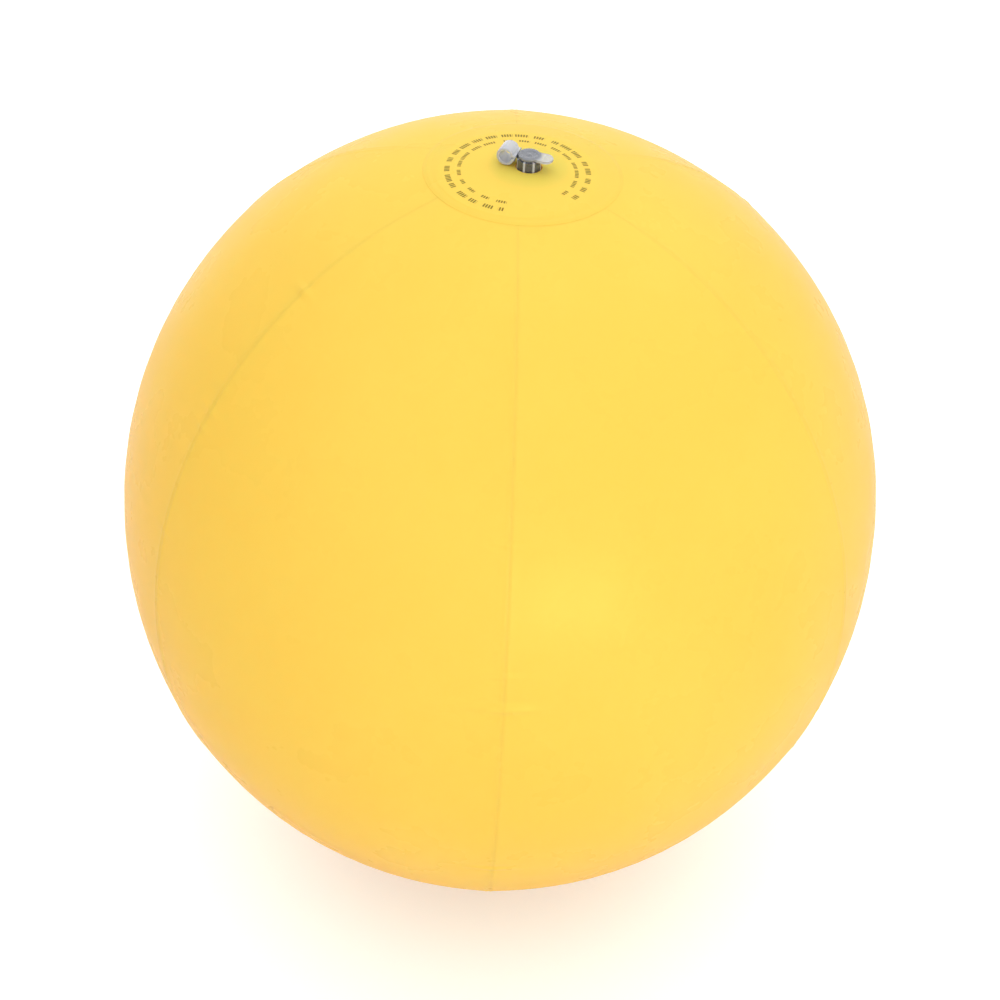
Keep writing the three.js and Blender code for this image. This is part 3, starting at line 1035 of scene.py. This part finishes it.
@dataclass
class AirValve:
    """The soft valve in the top patch. Heights run up its own axis from the patch's face."""

    finish: ClearPlastic
    stem_finish: RibbedPlastic
    strap_finish: ClearPlastic
    effects: SharedEffects
    turn: float = math.radians(-20)
    flange_radius: float = 12.5 * MM
    flange_thickness: float = 0.5 * MM
    flange_gap: float = 0.15 * MM
    skirt_radius: float = 7.5 * MM
    skirt_thickness: float = 0.3 * MM
    skirt_drop: float = 1.6 * MM
    stem_radius: float = 3.95 * MM
    bore_radius: float = 3.05 * MM
    stem_stands: float = 3.2 * MM
    stem_length: float = 9.8 * MM
    rib_height: float = 0.14 * MM
    head_radius: float = 3.5 * MM
    head_thickness: float = 1.05 * MM
    dish_radius: float = 2.55 * MM
    dish: tuple[Pair, ...] = (
        (2.45 * MM, 0.05 * MM), (2.3 * MM, 0.15 * MM), (2.1 * MM, 0.21 * MM),
        (1.5 * MM, 0.24 * MM), (0.6 * MM, 0.24 * MM), (0.45 * MM, 0.18 * MM),
        (0.3 * MM, 0.1 * MM))
    seat_gap: float = 0.1 * MM
    spigot_radius: float = 2.93 * MM
    spigot_length: float = 4.2 * MM
    tab_reach: float = 7.7 * MM
    tab_width: float = 4.8 * MM
    tab_thickness: float = 1.0 * MM
    strap_width: float = 5.6 * MM
    strap_thickness: float = 0.95 * MM
    loop_radius: float = 2.47 * MM
    loop_offset: float = 0.46 * MM
    loop_mouth: float = 50.0
    strap_gap: float = 0.15 * MM
    flap_radius: float = 3.7 * MM
    flap_thickness: float = 0.35 * MM
    flap_gap: float = 0.15 * MM
    hinge_width: float = 2.4 * MM
    film: float = 0.25 * MM
    dome_radius: float = 250 * MM
    segments: int = 96
    base: Vector = field(init=False)
    material: Material = field(init=False)
    stem_material: Material = field(init=False)
    strap_material: Material = field(init=False)

    def __post_init__(self) -> None:
        """Find the valve's own axis and the patch's face from the CAD stem."""
        low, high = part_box("valve_stem")
        self.base = Vector(((low.x + high.x) / 2, (low.y + high.y) / 2,
                            high.z - self.stem_stands))
        self.material, self.stem_material, self.strap_material = (
            finish.make(self.effects, (self.base.x, self.base.y))
            for finish in (self.finish, self.stem_finish, self.strap_finish))

    def placed(self, points: Array) -> Array:
        """Turn points on the valve's own axis to their place on the ball."""
        spin = np.array(Matrix.Rotation(self.turn, 3, "Z"))
        return points @ spin.T + np.array(self.base)

    def kept(self, name: str, rings: Array, ends: Ends, node: str, body: str | None) -> Piece:
        """Make one piece of the valve in place of its CAD node.

        Args:
            name: The piece's name.
            rings: Its points, on the valve's own axis.
            ends: How its rings are closed.
            node: The CAD node that it stands for.
            body: The body that it rides on, or None to leave it on no body.

        Returns:
            The dressed piece.
        """
        piece = dressed(ring_mesh(name, self.placed(rings), ends), self.material)
        return stands_for(piece, node, body)

    def turned(self, section: list[Pair]) -> Array:
        """Turn a section of radius and height about the valve's axis, into rings."""
        profile = np.array(section)
        return about_axis(whole_turn(self.segments), profile[:, :1], profile[:, 1:])

    def flange_top(self, radius: float) -> float:
        """Height of the flange's upper face, which follows the patch's dome."""
        offset = math.hypot(self.base.x, self.base.y)
        drop = (radius * offset + radius ** 2 / 2) / self.dome_radius
        return -(self.film + self.flange_gap + drop)

    def flange(self) -> Piece:
        """The ring that is welded under the patch."""
        radii = np.linspace(self.skirt_radius, self.flange_radius, 9)
        top = [(float(r), self.flange_top(r)) for r in radii]
        rim = self.flange_top(self.flange_radius) - self.flange_thickness / 2
        nose = arc((self.flange_radius, rim), self.flange_thickness / 2, 60, -60, 4)
        nose = [(self.flange_radius + 0.35 * (r - self.flange_radius), z) for r, z in nose]
        under = [(r, z - self.flange_thickness) for r, z in reversed(top)]
        return self.kept("soft_valve_flange", self.turned([*top[:-1], *nose, *under[1:]]),
                         Ends.JOINED, "valve_flange", "ball")

    def skirt(self) -> Piece:
        """The soft web between flange and stem, which rides on no body."""
        outer, inner = self.skirt_radius - 0.03 * MM, self.stem_radius + 0.03 * MM
        start = self.flange_top(self.skirt_radius)
        start -= (self.flange_thickness - self.skirt_thickness) / 2
        shares = np.linspace(0, 1, 17)
        radii = outer + (inner - outer) * shares
        tops = start - self.skirt_drop * smoothstep(0, 1, shares)
        top = list(zip(radii.tolist(), tops.tolist()))
        under = [(r, z - self.skirt_thickness) for r, z in reversed(top)]
        piece = self.kept("soft_valve_skirt", self.turned([*top, *under]), Ends.JOINED,
                          "valve_skirt", None)
        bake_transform(piece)
        return piece

    def stem(self) -> Piece:
        """The tube that one blows into, with soft moulded rims."""
        foot, soft = self.stem_stands - self.stem_length, 0.2 * MM
        outer, bore = self.stem_radius, self.bore_radius
        section = [
            (bore, foot + soft), *arc((bore + soft, foot + soft), soft, 180, 270, 4)[1:],
            *arc((outer - soft, foot + soft), soft, 270, 360, 4),
            (outer, foot + 0.3 * self.stem_length), (outer, foot + 0.6 * self.stem_length),
            *arc((outer - soft, self.stem_stands - soft), soft, 0, 90, 5),
            *arc((bore + soft, self.stem_stands - soft), soft, 90, 180, 5),
            (bore, foot + 0.6 * self.stem_length), (bore, foot + 0.3 * self.stem_length)]
        rings = self.turned(section)
        around = np.arctan2(rings[..., 1], rings[..., 0])
        reach = np.hypot(rings[..., 0], rings[..., 1])
        wave = np.cos(self.stem_finish.ribs * (around + self.turn - self.stem_finish.first_rib))
        outside = smoothstep(outer - soft, outer, reach)
        sunk = self.rib_height * outside * (1 - smoothstep(0.2, 0.9, wave))
        rings[..., :2] *= (1 - sunk / reach)[..., None]
        stem = self.kept("soft_valve_stem", rings, Ends.JOINED, "valve_stem", "valve")
        return dressed(stem, self.stem_material)

    def plug_outline(self, inset: float) -> Array:
        """The plug's outline from above: the round head with its tab.

        Args:
            inset: How far inside the outline to stay.

        Returns:
            Distance from the axis at each of the piece's angles.
        """
        around = whole_turn(2 * self.segments)
        across, out = np.abs(np.sin(around)), np.cos(around)
        half = self.tab_width / 2 - inset
        centre = self.tab_reach - self.tab_width / 2
        sides = np.where(out > 0, half / np.maximum(across, 1e-9), 0)
        nose = centre * out + np.sqrt(np.maximum(half ** 2 - (centre * across) ** 2, 0))
        straight = sides * out <= centre
        bar = np.where(out > 0, np.where(straight, sides, nose), 0)
        head = self.head_radius - inset
        fillet = 0.35 * MM
        gap = np.abs(bar - head) / fillet
        filled = np.where(bar > 0, 0.18 * fillet * np.maximum(1 - gap, 0) ** 2, 0)
        return np.maximum(bar, head) + filled

    def plug(self) -> Piece:
        """The plug: a dished head with a ribbed pull tab, and a tapered spigot below."""
        seat = self.stem_stands + self.seat_gap
        top, soft = seat + self.head_thickness, 0.26 * MM
        around = whole_turn(2 * self.segments)
        spigot, tip = self.spigot_radius, seat - self.spigot_length
        places = [(0.8 * MM, tip), (spigot - 0.55 * MM, tip), (spigot - 0.4 * MM, tip + 0.04 * MM),
                  (spigot - 0.2 * MM, tip + 0.3 * MM), (spigot - 0.06 * MM, seat - 1.6 * MM),
                  (spigot, seat - 0.8 * MM), (spigot, seat - 0.05 * MM)]
        outline = self.plug_outline(0.0)
        places += [(spigot + (self.plug_outline(soft) - spigot) * share, seat)
                   for share in (0.15, 0.6)]
        face = self.top_face(outline, around, top)
        for level, degrees in ((seat + soft, (270, 300, 330, 360)), (face - soft, (0, 30, 60, 90))):
            for turn in map(math.radians, degrees):
                places.append((outline - soft * (1 - math.cos(turn)),
                               level + soft * math.sin(turn)))
        for share in np.linspace(1, 0, 22)[1:]:
            radius = self.dish_radius + (outline - soft - self.dish_radius) * share
            places.append((radius, self.top_face(radius, around, top)))
        places += [(radius, top - sunk) for radius, sunk in self.dish]
        rings = np.array([about_axis(around, radius, height) for radius, height in places])
        return self.kept("soft_valve_plug", rings, Ends.POINTS, "valve_plug", "plug")

    def top_face(self, radius: Array, around: Array, top: float) -> Array:
        """Height of the plug's upper face, which steps down to the tab and has its ribs."""
        out = radius * np.cos(around)
        across = np.abs(radius * np.sin(around))
        on_tab = smoothstep(self.head_radius - 0.1 * MM, self.head_radius + 0.5 * MM, out)
        height = top - (self.head_thickness - self.tab_thickness) * on_tab
        ribs = np.zeros(np.shape(out))
        for place in (4.7 * MM, 5.5 * MM, 6.3 * MM):
            ribs = ribs + np.exp(-((out - place) / (0.16 * MM)) ** 2)
        return height + 0.13 * MM * ribs * (1 - smoothstep(1.3 * MM, 1.8 * MM, across)) * on_tab

    def strap_runs(self) -> tuple[Array, Array]:
        """The strap's middle line, as spots of distance out and height.

        Returns:
            The lower run, from the rim to the loop's far side, and the upper run from there
            to the head.
        """
        low = self.stem_stands - self.strap_thickness / 2 - self.seat_gap
        high = self.stem_stands + self.seat_gap + self.head_thickness / 2
        near = self.stem_radius + 0.02 * MM
        middle = self.stem_radius + self.loop_offset + self.loop_radius
        spots = [(near, low), (self.stem_radius + self.strap_gap + 0.35 * MM, low)]
        for degrees in np.linspace(self.loop_mouth, 360 - self.loop_mouth, 11):
            turn = math.radians(degrees)
            spots.append((middle - self.loop_radius * math.cos(turn),
                          self.stem_stands - self.loop_radius * math.sin(turn)))
        spots += [(self.head_radius + self.strap_gap + self.strap_thickness, high),
                  (self.head_radius + 0.02 * MM, high)]
        far = 2 + 5
        return np.array(spots[:far + 1]), np.array(spots[far:])

    def strap_section(self) -> Array:
        """The strap's rounded section, as side and rise, first half above the second."""
        half, skin = self.strap_width / 2, self.strap_thickness / 2
        soft = 0.6 * skin
        below = [*arc((soft - half, soft - skin), soft, 180, 270, 3),
                 *arc((half - soft, soft - skin), soft, 270, 360, 3)]
        return np.array([*below, *[(side, -rise) for side, rise in reversed(below)]])

    def strap(self) -> list[Piece]:
        """The folded strap, as a lower run and an upper run, which ride on no body."""
        section = self.strap_section()
        lower, upper = self.strap_runs()
        made = []
        for name, spots in (("soft_strap_lower_run", lower), ("soft_strap_upper_run", upper)):
            line, ways = smooth_run(spots, 6)
            ups = np.stack([ways[:, 1], np.zeros(len(ways)), ways[:, 0]], -1)
            centres = np.stack([-line[:, 0], np.zeros(len(line)), line[:, 1]], -1)
            rings = (centres[:, None] + ups[:, None] * section[None, :, 1:]
                     + np.array([0, 1, 0]) * section[None, :, :1])
            run = self.kept(name, rings, Ends.LADDER, "plug_strap", None)
            made.append(dressed(run, self.strap_material))
        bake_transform(made[0])
        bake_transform(made[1])
        return made

    def flap(self) -> Piece:
        """The check flap: a thin disc that hangs on a narrow tongue."""
        around = whole_turn(self.segments)
        out, across = np.cos(around), np.abs(np.sin(around))
        half = self.hinge_width / 2
        tongue = np.where(out < 0, np.minimum(half / np.maximum(across, 1e-9),
                                              self.stem_radius / np.maximum(-out, 1e-9)), 0)
        outline = np.maximum(self.flap_radius, tongue)
        top = self.stem_stands - self.stem_length - self.flap_gap
        soft = self.flap_thickness / 2
        edge = ((0.7, -2 * soft), (0.2, -2 * soft), (0.08, -1.85 * soft), (0.0, -1.3 * soft),
                (0.0, -0.7 * soft), (0.08, -0.15 * soft), (0.2, 0.0), (0.7, 0.0))
        rings = np.array([about_axis(around, outline - inset * MM, top + height)
                          for inset, height in edge])
        return self.kept("soft_check_flap", rings, Ends.POINTS, "check_flap", "flap")

    def build(self) -> list[Piece]:
        """Make every piece of the valve."""
        return [self.flange(), self.skirt(), self.stem(), self.plug(), *self.strap(), self.flap()]


# The studio

@dataclass(frozen=True)
class SoftBox:
    """A square lamp that faces the ball."""

    name: str
    turn: float
    lift: float
    distance: float
    size: float
    level: float

    def build(self, target: Vector) -> Piece:
        """Hang the lamp.

        Args:
            target: The point that it faces.

        Returns:
            The lamp.
        """
        way = towards(self.turn, self.lift)
        lamp = bpy.data.lights.new(self.name, "AREA")
        lamp.shape, lamp.size = "SQUARE", self.size
        lamp.energy = self.level * math.pi ** 2 * self.distance ** 2
        made = in_scene(self.name, lamp)
        made.location = target + way * self.distance
        made.rotation_mode = "QUATERNION"
        made.rotation_quaternion = way.to_track_quat("Z", "Y")
        return made


@dataclass(frozen=True)
class Studio:
    """The plain pale floor, the soft light and the camera."""

    low_surround: float = 0.03
    high_surround: float = 1.84
    bright_way: tuple[float, float, float] = (0.0, 0.45, 0.89)
    floor_radius: float = 9.0
    floor_thickness: float = 0.02
    floor_gap: float = 0.05 * MM
    floor_colour: Colour = (0.75, 0.75, 0.75)
    floor_boost: float = 0.45
    lamps: tuple[SoftBox, ...] = (
        SoftBox("front_box", -4, 42, 2.6, 2.6, 0.22),
        SoftBox("low_front_box", 21, -2, 2.4, 1.2, 0.66))
    camera_turn: float = -2.0
    camera_lift: float = 38.9
    camera_roll: float = 3.1
    camera_distance: float = 0.882
    camera_lens: float = 93.74
    aim_shift: Pair = (0.00007, 0.00091)

    def floor(self) -> Piece:
        """The floor, a wide disc just under the ball."""
        top, under, middle = -self.floor_gap, -self.floor_thickness, 0.5
        rings = [about_axis(whole_turn(96), reach, height)
                 for reach, height in ((middle, top), (self.floor_radius, top),
                                       (self.floor_radius, under), (middle, under))]
        made = ring_mesh("floor", np.array(rings), Ends.POINTS)
        material = bpy.data.materials.new("pale_floor")
        material.use_nodes = True
        sheet = NodeSheet(material.node_tree)
        ground = sheet.node("BsdfDiffuse", {"Color": self.floor_colour})
        lift = sheet.node("Emission", {"Color": WHITE,
                                       "Strength": sheet.product(sheet.seen(),
                                                                 self.floor_boost)})
        both = sheet.node("AddShader", {0: ground.outputs[0], 1: lift.outputs[0]})
        sheet.node("OutputMaterial", {"Surface": both.outputs[0]})
        dressed(made, material)
        return made

    def world(self) -> None:
        """The soft light all round, stronger from above, which the camera sees as white."""
        world = bpy.data.worlds.new("studio_surround")
        bpy.context.scene.world = world
        world.use_nodes = True
        sheet = NodeSheet(world.node_tree)
        way = sheet.node("TexCoord").outputs["Generated"]
        rise = sheet.node("VectorMath", {0: way, 1: self.bright_way},
                          operation="DOT_PRODUCT").outputs["Value"]
        glow = sheet.ramped(rise, 0.0, 1.0, self.low_surround, self.high_surround)
        strength = sheet.node("MapRange", {"Value": sheet.seen(), "To Min": glow,
                                           "To Max": 1.0}).outputs["Result"]
        light = sheet.node("Background", {"Color": WHITE, "Strength": strength})
        sheet.node("OutputWorld", {"Surface": light.outputs[0]})

    def camera(self, centre: Vector) -> Piece:
        """The camera, at the photograph's angle.

        Args:
            centre: The ball's middle.

        Returns:
            The camera.
        """
        back = towards(self.camera_turn, self.camera_lift)
        level_right = (-back).cross(Vector((0, 0, 1))).normalized()
        level_up = level_right.cross(-back)
        roll = math.radians(self.camera_roll)
        right = level_right * math.cos(roll) + level_up * math.sin(roll)
        up = level_up * math.cos(roll) - level_right * math.sin(roll)
        place = centre + back * self.camera_distance
        aim = centre + right * self.aim_shift[0] + up * self.aim_shift[1]
        back = (place - aim).normalized()
        right = up.cross(back).normalized()
        up = back.cross(right)
        lens = bpy.data.cameras.new("photo_camera")
        lens.lens, lens.sensor_width = self.camera_lens, 36
        made = in_scene("photo_camera", lens)
        made.rotation_mode = "QUATERNION"
        made.rotation_quaternion = Matrix((right, up, back)).transposed().to_quaternion()
        made.location = place
        bpy.context.scene.camera = made
        return made

    def build(self, centre: Vector) -> None:
        """Set up everything round the ball."""
        bpy.context.scene.view_settings.view_transform = "Standard"
        self.world()
        self.camera(centre)
        self.floor()
        for lamp in self.lamps:
            lamp.build(centre)


@dataclass
class BeachBall:
    """The whole ball."""

    form: BallForm
    effects: SharedEffects

    def build(self) -> list[Piece]:
        """Make every piece, from the film to the valve."""
        film = VinylFilm().make(self.effects)
        printed = PrintedFilm().make(self.effects)
        relief = FilmRelief(self.form)
        made = [FilmPanel(number, self.form, relief).build(film)
                for number in range(1, self.form.panel_count + 1)]
        # The stem's thick colour is near-black: painted shade for the dark cavity seen through the
        # clear tube.
        stem_finish = RibbedPlastic(thick_tint_and_shade=(0.10, 0.11, 0.14), thick_within=4.3 * MM,
                                    thin_beyond=5.0 * MM, clearness=0.45)
        strap_finish = ClearPlastic("milky_soft_plastic", (0.66, 0.68, 0.75), clearness=0.35)
        valve = AirValve(ClearPlastic(), stem_finish, strap_finish, self.effects)
        made.append(EndPatch(PatchKind.VALVE, self.form, (1.7 * MM, 3.0 * MM),
                             (valve.base.x, valve.base.y), 4.25 * MM).build(printed))
        made.append(EndPatch(PatchKind.BASE, self.form).build(film))
        made += valve.build()
        return made


def main() -> None:
    """Build the studio and the ball, and report each piece."""
    logging.basicConfig(level=logging.INFO, format="%(message)s")
    form = BallForm()
    Studio().build(Vector((0, 0, form.equator)))
    for piece in BeachBall(form, SharedEffects()).build():
        log.info("%s: %d faces", piece.name, len(piece.data.polygons))


if __name__ == "__main__":
    main()
